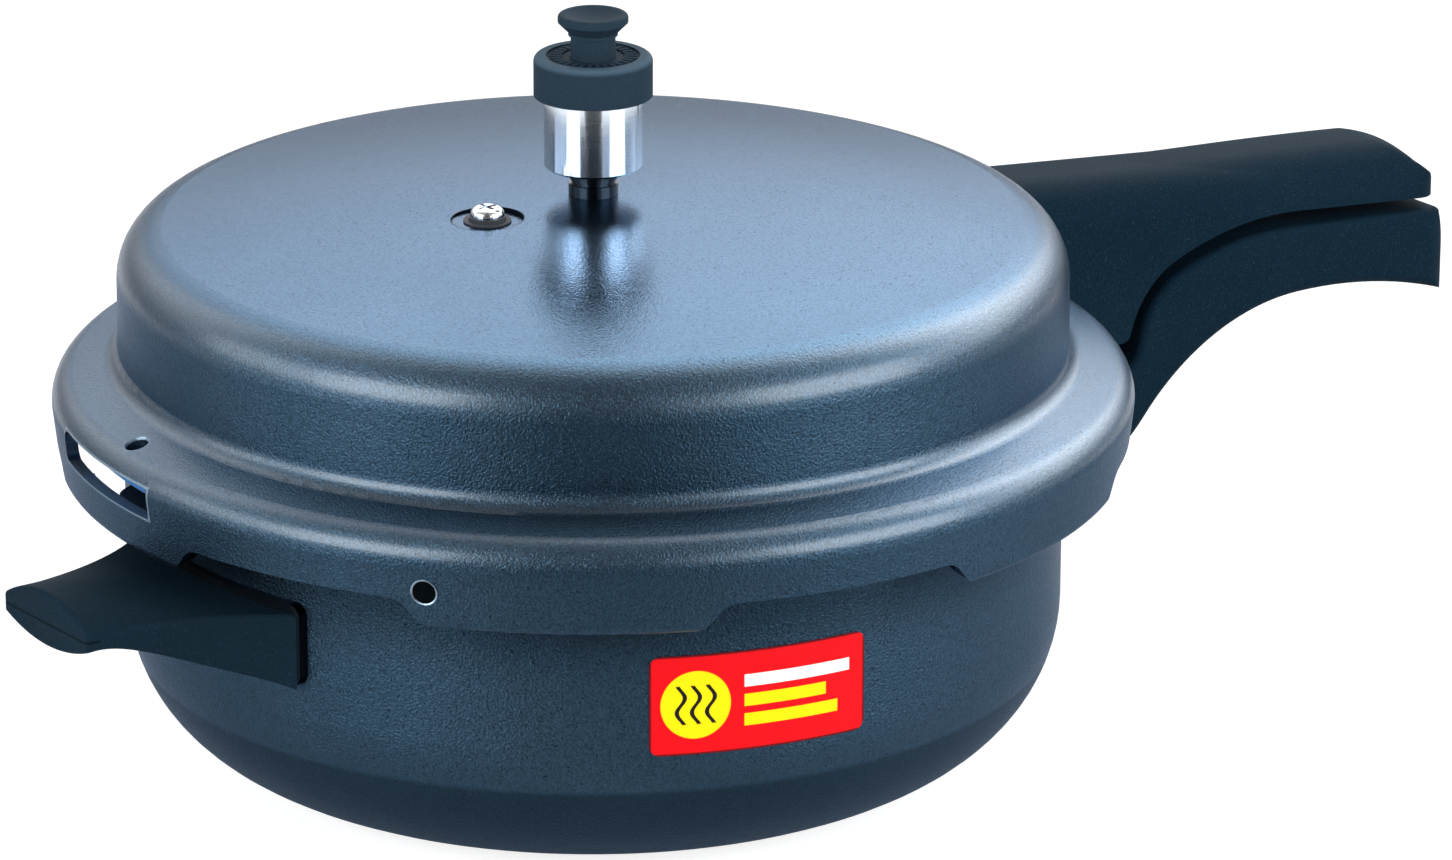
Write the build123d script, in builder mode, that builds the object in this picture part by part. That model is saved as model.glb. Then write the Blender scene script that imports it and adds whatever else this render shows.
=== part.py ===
from build123d import *
from math import asin, atan2, cos, degrees, hypot, radians, sin, sqrt, tan
import os

# Stovetop pressure pan with an outer bayonet lid. Millimetres, +Z up.
# Origin: centre of the base, on the hob. +X runs along the pair of long handles.

# Clearances
seat_gap = 0.1       # fixed pieces of one assembly, face to face
mould_gap = 0.3      # moulded plastic over metal
shank_gap = 0.1      # shank in its hole, on the radius

# Pan
pan_r = 109.0
pan_wall = 3.2
rim_z = 84.2
pan_corner_r = 36.0
flange_reach = 4.6
flange_depth = 4.2
flange_slope = 4.0
rim_bevel = 0.8

# Bayonet: lugs on the pan under which the lid's lugs turn
lug_count = 6
pan_lug_arc = 16.0
pan_lug_middle = 178.1
pan_lug_reach = 11.2
pan_lug_edge = 4.0
pan_lug_round = 2.0
engage_gap = 1.5      # from the lid's lips up to the pan's lugs, until pressure lifts the lid
lid_lug_middle = 170.4
lid_lug_arc = 33.5
lid_lug_foot_arc = 28.5
lid_lug_curve = 6.0
lip_width = 6.5

# Lid section, heights measured from the pan rim
lid_wall = 3.0
riser_step = 0.75
riser_draft = 0.35
crown_height = 47.3
crown_r = 760.0
dome_edge_r = 12.1
shoulder_height = 9.8
shoulder_base_r = 4.5
skirt_corner_reach = 17.0
roll_height = 5.1
roll_r = 7.0
skirt_taper = 2.3
skirt_drop = 15.2
notch_drop = 8.6
lip_edge_r = 2.0

# Openings in the lid
window_length = 46.0
window_height = 7.4
window_drop = 1.6
window_round = 2.0
skirt_hole_turn = -14.0       # from the middle of the second lug
skirt_hole_d = 5.2
skirt_hole_drop = 6.4
shoulder_hole_turn = 3.5      # from the middle of the first lug
shoulder_hole_d = 5.0
shoulder_hole_reach = 8.9
hole_bevel = 0.5
hole_bevel_angle = 45.0

# Gasket
gasket_in_reach = 1.0
gasket_width = 10.4
gasket_bevel = 0.8
gasket_lip_gap = 0.8      # from the rim flange out to the lip that hangs beside it
gasket_lip_drop = 2.9

# Vent tube and its nut, on the lid's axis
vent_bore_d = 2.6
vent_thread_d = 8.8
vent_collar_d = 11.5
vent_collar_t = 2.6
vent_groove_d = 10.0
vent_groove_t = 0.9
vent_body_d = 10.9
vent_body_height = 9.0
vent_nipple_d = 6.0
vent_nipple_height = 17.0
vent_nipple_bevel = 1.2
vent_seal_d = 15.0
vent_seal_t = 1.6
vent_nut_across = 13.0
vent_nut_t = 4.0
vent_thread_past = 1.5

# Weight: plated sleeve, cap, knob, core and clip
sleeve_d = 22.7
sleeve_bore_d = 14.0
sleeve_lift = 6.4
sleeve_height = 20.0
sleeve_bevel = 0.6
cap_d = 27.4
cap_height = 9.4
cap_cover = 2.8
cap_round = 1.4
cap_ring_d = 21.5
cap_ring_depth = 0.5
knob_neck_d = 10.3
knob_band_d = 11.4
knob_band_t = 0.7
knob_head_d = 16.2
knob_head_t = 1.8
knob_under_t = 2.4
knob_neck_show = 4.8
knob_dish_depth = 1.2
knob_rim_w = 1.5
knob_round = 0.8
core_height = 12.0
clip_w = 1.2
clip_t = 1.0
clip_gap_arc = 40.0
clip_height = 4.2

# Safety plug
plug_x = -30.0
plug_face_d = 16.6
plug_face_depth = 0.25
plug_head_d = 7.8
plug_head_t = 2.1
plug_head_round = 1.6
plug_slot_w = 1.1
plug_slot_length = 4.8
plug_slot_depth = 1.1
plug_shank_d = 4.8
plug_seal_d = 8.6
plug_seal_flange_d = 11.0
plug_seal_flange_t = 0.4
plug_seal_t = 1.3
plug_nut_across = 8.0
plug_nut_t = 3.2
plug_core_d = 2.4
plug_core_length = 7.0
plug_past = 1.2

# Long handles: x measured from the pan wall, z from the pan rim
handle_width = 32.0
handle_corner_r = 9.0
bend_reach = 85.0
bend_height = 4.7
bend_r = 80.0
bend_arc = 21.0
knee_r = 19.0
knee_arc = 53.0
handle_gap = 4.2
lower_droop = 4.8
lower_tip_reach = 140.5
end_rake = 4.7
end_foot_drop = 22.4
end_bulge = 1.3
belly_reach = 95.3
belly_drop = 13.5
belly_r = 64.0
belly_arc = 49.4
lower_root_drop = 22.4
lower_root_height = 27.8
lower_corner_r = 6.0
lower_top_round = 2.0
lower_bottom_round = 3.0
crest_root_height = 30.6
crest_slope = 6.3
crest_end_reach = 124.0
crest_round = 11.0
upper_droop = 6.2
upper_tip_reach = 142.5
leg_drop = 14.7
leg_corner_r = 2.5

# Helper handle: reach from the pan wall, then half width, top edge and bottom edge
# (both from the rim), crown and belly of each cross-section, from the root to the tip
helper_sections = [
    (-6.0, 35.8, -23.1, -42.7, 0.5, 0.5),
    (10.0, 24.8, -22.6, -35.7, 1.5, 1.0),
    (22.0, 20.4, -22.4, -31.0, 3.0, 2.0),
    (32.0, 18.2, -22.2, -27.4, 4.2, 2.8),
    (42.2, 17.0, -22.0, -26.6, 5.0, 3.6),
]
helper_round = 0.9

# Brackets: curved plate with a tongue, riveted to the wall behind it
plate_t = 2.0
plate_corner_r = 3.0
tongue_w = 16.0
tongue_t = 5.0
pan_plate_half_w = 24.0
pan_plate_drop = 26.0
pan_plate_height = 22.0
pan_tongue_reach = 27.0
helper_plate_half_w = 33.4
helper_plate_drop = 20.6
helper_plate_height = 19.7
helper_tongue_reach = 17.0
helper_tongue_lift = 2.5
lid_plate_half_w = 15.0
lid_plate_height = 12.0
lid_plate_lift = 14.2
lid_tongue_reach = 34.0
rivet_d = 4.0
rivet_head_d = 8.0
rivet_head_t = 1.8
rivet_head_bevel = 1.0
pan_rivet_y = 17.0
helper_rivet_y = 26.0
lid_rivet_y = 11.5

# Handle screws, driven upwards into the tongues
screw_d = 4.0
screw_head_d = 7.4
screw_head_t = 2.6
screw_head_bevel = 0.8
screw_slot_w = 1.0
screw_slot_length = 4.6
screw_slot_depth = 1.0
screw_edge = 8.0
washer_d = 8.6
washer_t = 0.9
bore_gap = 0.4
pan_screw_grip = 5.0
helper_screw_grip = 2.2
lid_screw_grip = 5.5

# Derived radii and heights
riser_r = pan_r + riser_step
skirt_corner_r = pan_r + skirt_corner_reach
skirt_low_r = skirt_corner_r - skirt_taper
flange_r = pan_r + flange_reach
apex_z = rim_z + crown_height
lug_z = rim_z - skirt_drop
notch_z = rim_z - notch_drop
lip_in_r = skirt_low_r - lip_width
crown_centre_z = apex_z - crown_r
lid_inner_apex_z = apex_z - lid_wall
shoulder_z = rim_z + shoulder_height
roll_z = rim_z + roll_height
shoulder_angle = atan2(shoulder_height - roll_height, skirt_corner_r - riser_r - riser_draft)
lug_pitch = 360.0 / lug_count
lip_top_z = lug_z + lid_wall
pan_lug_z = lip_top_z + engage_gap
pan_mid_wall_r = pan_r - pan_wall / 2


def crown_z(radius, sphere_r):
    """Height of a crown of the given sphere radius, above a point at this radius from the axis."""
    return crown_centre_z + sqrt(sphere_r ** 2 - radius ** 2)


def shoulder_under_z(radius):
    """Height of the underside of the lid's shoulder at this radius."""
    fall = (radius - riser_r - riser_draft) * tan(shoulder_angle)
    return shoulder_z - fall - lid_wall / cos(shoulder_angle)


def radial_plane(azimuth, radius, height, tilt=0.0):
    """Plane facing outwards from the vertical axis and tilted up, with its local x axis level."""
    way = Vector(1, 0, 0).rotate(Axis.Z, azimuth)
    along = way.rotate(Axis.Z, 90)
    out = way * cos(radians(tilt)) + Vector(0, 0, sin(radians(tilt)))
    return Plane(origin=way * radius + Vector(0, 0, height), x_dir=along, z_dir=out)


def finish(builder, name):
    """Label one sub-part and write it out."""
    builder.part.label = name
    export_step(builder.part, f"parts/{name}.step")


def skirt_r(height):
    """Radius of the outside of the lid's skirt at this height."""
    return skirt_low_r + skirt_taper * (height - lug_z) / (roll_z - lug_z)


os.makedirs("parts", exist_ok=True)


def lid_section(grow):
    """Half section of the lid's outside, grown all round by a clearance."""
    edge_angle = degrees(asin(riser_r / crown_r))
    crown_edge = (riser_r, crown_z(riser_r, crown_r))
    base_corner = (riser_r + riser_draft, shoulder_z)
    roll_corner = (skirt_corner_r, roll_z)
    with BuildSketch(Plane.XZ) as section:
        with BuildLine():
            CenterArc((0, crown_centre_z), crown_r, 90 - edge_angle, edge_angle)
            Polyline((0, apex_z), (0, lug_z), (skirt_low_r, lug_z), roll_corner, base_corner, crown_edge)
        make_face()
        for corner, radius in (
            (crown_edge, dome_edge_r),
            (base_corner, shoulder_base_r),
            (roll_corner, roll_r),
        ):
            fillet(section.vertices().sort_by_distance((*corner, 0))[0], radius)
        if grow > 0:
            offset(amount=grow)
            with Locations((0, lug_z - grow)):
                Rectangle(crown_r, crown_r, align=(Align.MIN, Align.MIN), mode=Mode.INTERSECT)
    return section.sketch


# Pan: drawn shell, rim flange and bayonet lugs
with BuildPart() as pan_lug:
    with BuildSketch(Plane.XZ):
        with BuildLine():
            Polyline(
                (pan_mid_wall_r, pan_lug_z),
                (pan_r + pan_lug_reach, pan_lug_z),
                (pan_r + pan_lug_reach, pan_lug_z + pan_lug_edge),
                (flange_r, rim_z - flange_depth),
                (pan_mid_wall_r, rim_z - flange_depth),
                close=True,
            )
        make_face()
    revolve(axis=Axis.Z, revolution_arc=pan_lug_arc)
    fillet(pan_lug.edges().filter_by(Axis.Z).group_by(SortBy.DISTANCE)[-1], pan_lug_round)

pan_plate_mid_z = rim_z - pan_plate_drop - pan_plate_height / 2
helper_plate_mid_z = rim_z - helper_plate_drop - helper_plate_height / 2
helper_tongue_z = helper_plate_mid_z + helper_tongue_lift
lid_plate_mid_z = rim_z + lid_plate_lift + lid_plate_height / 2


def rivet_azimuths(facing, wall_r, half_spacing):
    """Azimuths of a pair of rivets, either side of the direction that a bracket faces."""
    swing = degrees(asin(half_spacing / wall_r))
    return (facing - swing, facing + swing)


pan_rivet_azimuths = rivet_azimuths(0.0, pan_r, pan_rivet_y)
helper_rivet_azimuths = rivet_azimuths(180.0, pan_r, helper_rivet_y)
lid_plate_r = riser_r + riser_draft
lid_rivet_azimuths = rivet_azimuths(0.0, lid_plate_r, lid_rivet_y)
rivet_hole_r = rivet_d / 2 + shank_gap

with BuildPart() as pan:
    with BuildSketch(Plane.XZ) as pan_section:
        with BuildLine():
            Polyline((0, 0), (pan_r, 0), (pan_r, rim_z), (0, rim_z), close=True)
        make_face()
        fillet(pan_section.vertices().sort_by_distance((pan_r, 0, 0))[0], pan_corner_r)
    revolve(axis=Axis.Z)
    offset(amount=-pan_wall, openings=pan.faces().sort_by(Axis.Z)[-1])
    with BuildSketch(Plane.XZ):
        with BuildLine():
            Polyline(
                (pan_mid_wall_r, rim_z),
                (flange_r, rim_z),
                (flange_r, rim_z - flange_depth),
                (pan_r, rim_z - flange_depth - flange_slope),
                (pan_mid_wall_r, rim_z - flange_depth - flange_slope),
                close=True,
            )
        make_face()
    revolve(axis=Axis.Z)
    chamfer(pan.faces().sort_by(Axis.Z)[-1].edges(), rim_bevel)
    with PolarLocations(0, lug_count, start_angle=pan_lug_middle - pan_lug_arc / 2):
        add(pan_lug.part)
    for height, azimuths in (
        (pan_plate_mid_z, pan_rivet_azimuths),
        (helper_plate_mid_z, helper_rivet_azimuths),
    ):
        for azimuth in azimuths:
            with BuildSketch(radial_plane(azimuth, pan_r, height)):
                Circle(rivet_hole_r)
            extrude(amount=2 * pan_wall, both=True, mode=Mode.SUBTRACT)
finish(pan, "pan")

# Lid: pressed shell, bayonet lip, notches with S-shaped ends, window and drilled holes
notch_half = skirt_low_r * sin(radians((lug_pitch - lid_lug_arc) / 2))
notch_foot_half = skirt_low_r * sin(radians((lug_pitch - lid_lug_foot_arc) / 2))
with BuildPart() as notch:
    with BuildSketch(Plane.YZ.offset(lip_in_r - lip_width)) as notch_face:
        foot_z = lug_z - seat_gap
        side = notch_foot_half + lid_lug_curve
        with BuildLine():
            Polyline(
                (-side, foot_z),
                (-notch_foot_half, foot_z),
                (-notch_half, notch_z),
                (notch_half, notch_z),
                (notch_foot_half, foot_z),
                (side, foot_z),
                (side, foot_z - skirt_drop),
                (-side, foot_z - skirt_drop),
                close=True,
            )
        make_face()
        curved = [v for v in notch_face.vertices() if abs(v.X) < side - seat_gap]
        fillet(curved, lid_lug_curve)
    extrude(amount=lip_width * 4)

plug_lid_z = crown_z(abs(plug_x) + plug_face_d / 2, crown_r) - plug_face_depth
plug_under_z = crown_z(abs(plug_x) - plug_face_d / 2, crown_r - lid_wall)
window_mid_z = rim_z - window_drop
skirt_hole_z = rim_z - skirt_hole_drop
skirt_hole_azimuth = lid_lug_middle + lug_pitch + skirt_hole_turn
shoulder_hole_azimuth = lid_lug_middle + shoulder_hole_turn
shoulder_hole_r = riser_r + shoulder_hole_reach
shoulder_hole_z = shoulder_under_z(shoulder_hole_r) + lid_wall / cos(shoulder_angle)


def drill(plane, hole_d):
    """Hole through the lid from outside, with a bevelled edge, square to the surface there."""
    with BuildSketch(plane) as bore:
        Circle(hole_d / 2)
    extrude(bore.sketch, amount=-2 * lid_wall, mode=Mode.SUBTRACT)
    with BuildSketch(plane) as bevel:
        Circle(hole_d / 2 + hole_bevel)
    extrude(bevel.sketch, amount=-hole_d / 2, taper=hole_bevel_angle, mode=Mode.SUBTRACT)


with BuildPart() as lid:
    add(lid_section(0))
    revolve(axis=Axis.Z)
    offset(amount=-lid_wall, openings=lid.faces().sort_by(Axis.Z)[0])
    with BuildSketch(Plane.XZ):
        with Locations((lip_in_r, lug_z)):
            Rectangle(lip_width - lid_wall / 2, lid_wall, align=(Align.MIN, Align.MIN))
    revolve(axis=Axis.Z)
    lip_face = lid.faces().sort_by(Axis.Z)[0]
    fillet(lip_face.edges().sort_by(SortBy.LENGTH)[-1], lip_edge_r)
    with PolarLocations(0, lug_count, start_angle=lid_lug_middle + lug_pitch / 2):
        add(notch.part, mode=Mode.SUBTRACT)
    with BuildSketch(radial_plane(lid_lug_middle, lip_in_r, window_mid_z)):
        RectangleRounded(window_length, window_height, window_round)
    extrude(amount=2 * lip_width, mode=Mode.SUBTRACT)
    drill(radial_plane(skirt_hole_azimuth, skirt_r(skirt_hole_z), skirt_hole_z), skirt_hole_d)
    shoulder_tilt = 90 - degrees(shoulder_angle)
    drill(
        radial_plane(shoulder_hole_azimuth, shoulder_hole_r, shoulder_hole_z, shoulder_tilt),
        shoulder_hole_d,
    )
    for face_z, side in ((plug_lid_z, Align.MIN), (plug_under_z, Align.MAX)):
        with Locations((plug_x, 0, face_z)):
            Cylinder(
                plug_face_d / 2,
                lid_wall,
                align=(Align.CENTER, Align.CENTER, side),
                mode=Mode.SUBTRACT,
            )
    with Locations((plug_x, 0, plug_under_z)):
        Cylinder(plug_shank_d / 2 + shank_gap, 4 * lid_wall, mode=Mode.SUBTRACT)
    with Locations((0, 0, apex_z)):
        Cylinder(vent_thread_d / 2 + shank_gap, 4 * lid_wall, mode=Mode.SUBTRACT)
    for azimuth in lid_rivet_azimuths:
        with BuildSketch(radial_plane(azimuth, riser_r, lid_plate_mid_z)):
            Circle(rivet_hole_r)
        extrude(amount=2 * lid_wall, both=True, mode=Mode.SUBTRACT)
finish(lid, "lid")

# Gasket: ring held between the pan rim and the underside of the shoulder, with a lip outside the flange
gasket_in_r = pan_r + gasket_in_reach
gasket_out_r = gasket_in_r + gasket_width
gasket_lip_r = flange_r + gasket_lip_gap
gasket_lip_z = rim_z - gasket_lip_drop
with BuildPart() as gasket:
    with BuildSketch(Plane.XZ) as gasket_section:
        with BuildLine():
            Polyline(
                (gasket_in_r, rim_z + mould_gap),
                (gasket_lip_r, rim_z + mould_gap),
                (gasket_lip_r, gasket_lip_z),
                (gasket_out_r, gasket_lip_z),
                (gasket_out_r, shoulder_under_z(gasket_out_r) - mould_gap),
                (gasket_in_r, shoulder_under_z(gasket_in_r) - mould_gap),
                close=True,
            )
        make_face()
        chamfer(gasket_section.vertices(), gasket_bevel)
    revolve(axis=Axis.Z)
finish(gasket, "gasket")


def bracket(facing, wall_r, half_w, mid_z, height, tongue_z, tongue_reach, rivet_y, name):
    """Curved plate on a wall, with a tongue into the handle and a tapped hole near its end."""
    inner_r = wall_r + seat_gap
    tongue_end = wall_r + tongue_reach
    with BuildPart() as piece:
        with BuildSketch(Plane.XY.offset(mid_z - height / 2)):
            Circle(inner_r + plate_t)
            Circle(inner_r, mode=Mode.SUBTRACT)
            with Locations((facing * inner_r, 0)):
                Rectangle(inner_r, 2 * half_w, mode=Mode.INTERSECT)
        extrude(amount=height)
        fillet(piece.edges().filter_by(Axis.X), plate_corner_r)
        with Locations((facing * (inner_r + plate_t / 2), 0, tongue_z)):
            Box(
                tongue_end - inner_r - plate_t / 2,
                tongue_w,
                tongue_t,
                align=(Align.MIN if facing > 0 else Align.MAX, Align.CENTER, Align.CENTER),
            )
        with Locations((facing * (tongue_end - screw_edge), 0, tongue_z)):
            Cylinder(screw_d / 2 + shank_gap, 2 * tongue_t, mode=Mode.SUBTRACT)
        for azimuth in rivet_azimuths(0.0 if facing > 0 else 180.0, wall_r, rivet_y):
            with BuildSketch(radial_plane(azimuth, inner_r, mid_z)):
                Circle(rivet_hole_r)
            extrude(amount=2 * plate_t, both=True, mode=Mode.SUBTRACT)
    finish(piece, name)


def rivets(azimuths, inside_r, wall_r, height, name):
    """Pair of rivets: rounded heads inside the wall, shanks flush with the bracket's plate."""
    head_face_r = sqrt(inside_r ** 2 - (rivet_head_d / 2) ** 2) - seat_gap
    head_r = head_face_r - rivet_head_t
    with BuildPart() as pair:
        for azimuth in azimuths:
            with BuildSketch(radial_plane(azimuth, head_r, height)):
                Circle(rivet_head_d / 2)
            extrude(amount=rivet_head_t)
            with BuildSketch(radial_plane(azimuth, head_face_r, height)):
                Circle(rivet_d / 2)
            extrude(amount=wall_r + plate_t - head_face_r)
        rims = [e for e in pair.edges().filter_by(GeomType.CIRCLE) if e.radius > rivet_d / 2 + seat_gap]
        chamfer(
            [e for e in rims if hypot(e.arc_center.X, e.arc_center.Y) < head_face_r - seat_gap],
            rivet_head_bevel,
        )
    finish(pair, name)


bracket(
    1, pan_r, pan_plate_half_w, pan_plate_mid_z, pan_plate_height,
    pan_plate_mid_z, pan_tongue_reach, pan_rivet_y, "pan_handle_bracket",
)
bracket(
    -1, pan_r, helper_plate_half_w, helper_plate_mid_z, helper_plate_height,
    helper_tongue_z, helper_tongue_reach, helper_rivet_y, "helper_bracket",
)
bracket(
    1, lid_plate_r, lid_plate_half_w, lid_plate_mid_z, lid_plate_height,
    lid_plate_mid_z, lid_tongue_reach, lid_rivet_y, "lid_handle_bracket",
)
rivets(pan_rivet_azimuths, pan_r - pan_wall, pan_r, pan_plate_mid_z, "pan_bracket_rivets")
rivets(helper_rivet_azimuths, pan_r - pan_wall, pan_r, helper_plate_mid_z, "helper_rivets")
rivets(lid_rivet_azimuths, riser_r - lid_wall, lid_plate_r, lid_plate_mid_z, "lid_bracket_rivets")


def cut_for_bracket(facing, wall_r, mid_z, tongue_reach, grip):
    """Cut the seat on the plate, the slot for the tongue and the stepped bore for the screw."""
    tongue_end = wall_r + tongue_reach
    screw_x = facing * (tongue_end - screw_edge)
    slot_end = tongue_end + mould_gap
    with Locations((facing * wall_r, 0, mid_z)):
        Box(
            slot_end - wall_r,
            tongue_w + 2 * mould_gap,
            tongue_t + 2 * mould_gap,
            align=(Align.MIN if facing > 0 else Align.MAX, Align.CENTER, Align.CENTER),
            mode=Mode.SUBTRACT,
        )
    with Locations((screw_x, 0, mid_z)):
        Cylinder(
            screw_d / 2 + mould_gap,
            tongue_t / 2 + 2 * grip,
            align=(Align.CENTER, Align.CENTER, Align.MAX),
            mode=Mode.SUBTRACT,
        )
    with Locations((screw_x, 0, mid_z - tongue_t / 2 - grip)):
        Cylinder(
            washer_d / 2 + bore_gap,
            rim_z,
            align=(Align.CENTER, Align.CENTER, Align.MAX),
            mode=Mode.SUBTRACT,
        )


def handle_screw(facing, wall_r, mid_z, tongue_reach, grip, name):
    """Screw and washer, bearing on the step of the handle's bore and threaded in the tongue."""
    screw_x = facing * (wall_r + tongue_reach - screw_edge)
    step_z = mid_z - tongue_t / 2 - grip
    head_z = step_z - washer_t
    with BuildPart() as washer:
        with BuildSketch(Plane.XY.offset(head_z)):
            with Locations((screw_x, 0)):
                Circle(washer_d / 2)
                Circle(screw_d / 2 + shank_gap, mode=Mode.SUBTRACT)
        extrude(amount=washer_t)
    finish(washer, f"{name}_washer")
    with BuildPart() as screw:
        with BuildSketch(Plane.XY.offset(head_z - screw_head_t)):
            with Locations((screw_x, 0)):
                Circle(screw_head_d / 2)
        extrude(amount=screw_head_t)
        chamfer(screw.edges().group_by(Axis.Z)[0], screw_head_bevel)
        with BuildSketch(Plane.XY.offset(head_z)):
            with Locations((screw_x, 0)):
                Circle(screw_d / 2)
        extrude(amount=mid_z + tongue_t / 2 - head_z)
        with Locations((screw_x, 0, head_z - screw_head_t)):
            for turn in (0, 90):
                Box(
                    screw_slot_length,
                    screw_slot_w,
                    2 * screw_slot_depth,
                    rotation=(0, 0, turn),
                    mode=Mode.SUBTRACT,
                )
    finish(screw, f"{name}_screw")


handle_screw(1, pan_r, pan_plate_mid_z, pan_tongue_reach, pan_screw_grip, "pan_handle")
handle_screw(-1, pan_r, helper_tongue_z, helper_tongue_reach, helper_screw_grip, "helper")
handle_screw(1, lid_plate_r, lid_plate_mid_z, lid_tongue_reach, lid_screw_grip, "lid_handle")

# Long handles: two side outlines that share one bend, extruded and rounded
bend_top = (pan_r + bend_reach, rim_z + bend_height)
bend_end_x = bend_top[0] - bend_r * sin(radians(bend_arc))
handle_inside_x = pan_r - pan_wall
plate_face_r = pan_r + plate_t + 2 * seat_gap


def droop_point(gap, droop, reach):
    """Point at this reach on the straight, drooping stretch of an outline one gap above the bend."""
    radius = bend_r + gap
    start_x = bend_top[0] + radius * sin(radians(droop))
    start_z = bend_top[1] + gap - radius * (1 - cos(radians(droop)))
    end_x = pan_r + reach
    return (end_x, start_z - (end_x - start_x) * tan(radians(droop)))


def bend_outline(gap, droop, tip, foot_z):
    """Outline one gap above the bend, from the tip over the bend and the knee down to a foot."""
    top = (bend_top[0], bend_top[1] + gap)
    fall = JernArc(start=top, tangent=(1, 0), radius=bend_r + gap, arc_size=-droop)
    Line(fall @ 1, tip)
    bend = JernArc(start=top, tangent=(-1, 0), radius=bend_r + gap, arc_size=bend_arc)
    knee = JernArc(start=bend @ 1, tangent=bend % 1, radius=knee_r + gap, arc_size=knee_arc)
    heading = knee % 1
    foot = knee @ 1 + heading * ((foot_z - (knee @ 1).Y) / heading.Y)
    Line(knee @ 1, foot)
    return foot


def round_ends(tip_x):
    """Round the outer end of a long handle in plan."""
    with BuildSketch(Plane.XY.offset(-rim_z)) as plan:
        with Locations((tip_x, 0)):
            Rectangle(tip_x, handle_width, align=(Align.MAX, Align.CENTER))
        fillet(plan.vertices().group_by(Axis.X)[-1], handle_corner_r)
    extrude(plan.sketch, amount=4 * rim_z, mode=Mode.INTERSECT)


# Lower handle, fixed to the pan
belly = (pan_r + belly_reach, rim_z - belly_drop)
lower_root_z = rim_z - lower_root_drop
root_foot_z = lower_root_z - lower_root_height
lower_tip = droop_point(0, lower_droop, lower_tip_reach)
end_foot = (lower_tip[0] + end_rake, rim_z - end_foot_drop)
belly_end_z = belly[1] - belly_r * (1 - cos(radians(belly_arc)))
foot_r = (belly_end_z - root_foot_z) / (1 - cos(radians(belly_arc)))


def is_under(point):
    """True on the lower handle's underside, from its root to its end."""
    return point.Z < (belly[1] if point.X > bend_end_x else lower_root_z - lower_corner_r)


def is_over(point):
    """True on the lower handle's top, from the bend to its end."""
    return point.X > bend_end_x and not is_under(point) and point.X < lower_tip[0]


with BuildPart() as pan_handle:
    with BuildSketch(Plane.XZ) as lower_side:
        with BuildLine():
            neck = bend_outline(0, lower_droop, lower_tip, lower_root_z)
            SagittaArc(lower_tip, end_foot, end_bulge)
            TangentArc(belly, end_foot, tangent=(1, 0))
            under = JernArc(start=belly, tangent=(-1, 0), radius=belly_r, arc_size=belly_arc)
            foot = JernArc(start=under @ 1, tangent=under % 1, radius=foot_r, arc_size=-belly_arc)
            Polyline(
                foot @ 1,
                (handle_inside_x, root_foot_z),
                (handle_inside_x, lower_root_z),
                neck,
            )
        make_face()
        fillet(lower_side.vertices().sort_by_distance(neck)[0], lower_corner_r)
    extrude(amount=handle_width / 2, both=True)
    side_edges = pan_handle.faces().filter_by(Axis.Y).edges()
    fillet([e for e in side_edges if is_under(e @ 0.5)], lower_bottom_round)
    side_edges = pan_handle.faces().filter_by(Axis.Y).edges()
    fillet([e for e in side_edges if is_over(e @ 0.5)], lower_top_round)
    round_ends(end_foot[0] + end_bulge)
    with BuildSketch(Plane.XY):
        Circle(plate_face_r)
    extrude(amount=rim_z, mode=Mode.SUBTRACT)
    cut_for_bracket(1, pan_r, pan_plate_mid_z, pan_tongue_reach, pan_screw_grip)
finish(pan_handle, "pan_handle")

# Upper handle, fixed to the lid: straight rounded crest, cut off by an arc at its tip
leg_z = rim_z - leg_drop
upper_tip = droop_point(handle_gap, upper_droop, upper_tip_reach)
crest_fall = tan(radians(crest_slope))
crest_way = (cos(radians(crest_slope)), -sin(radians(crest_slope)))
crest_end = (pan_r + crest_end_reach, rim_z + crest_root_height - crest_end_reach * crest_fall)
crest_inside = (handle_inside_x, rim_z + crest_root_height + pan_wall * crest_fall)
crest_plane = Plane(
    origin=(crest_end[0], 0, crest_end[1]), x_dir=(0, 1, 0), z_dir=(crest_way[0], 0, crest_way[1])
)

with BuildPart() as lid_handle:
    with BuildSketch(Plane.XZ) as upper_side:
        with BuildLine():
            leg = bend_outline(handle_gap, upper_droop, upper_tip, leg_z)
            TangentArc(crest_end, upper_tip, tangent=crest_way)
            Polyline(crest_end, crest_inside, (handle_inside_x, leg_z), leg)
        make_face()
        fillet(upper_side.vertices().sort_by_distance(leg)[0], leg_corner_r)
    extrude(amount=handle_width / 2, both=True)
    with BuildSketch(crest_plane) as crest_face:
        Rectangle(handle_width, 2 * rim_z, align=(Align.CENTER, Align.MAX))
        fillet(crest_face.vertices().group_by(Axis.Y)[-1], crest_round)
    extrude(amount=crest_end[0], both=True, mode=Mode.INTERSECT)
    round_ends(upper_tip[0])
    add(revolve(lid_section(mould_gap), axis=Axis.Z, mode=Mode.PRIVATE), mode=Mode.SUBTRACT)
    with BuildSketch(Plane.XY.offset(shoulder_z)):
        Circle(lid_plate_r + plate_t + 2 * seat_gap)
    extrude(amount=crown_height, mode=Mode.SUBTRACT)
    cut_for_bracket(1, lid_plate_r, lid_plate_mid_z, lid_tongue_reach, lid_screw_grip)
finish(lid_handle, "lid_handle")

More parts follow.
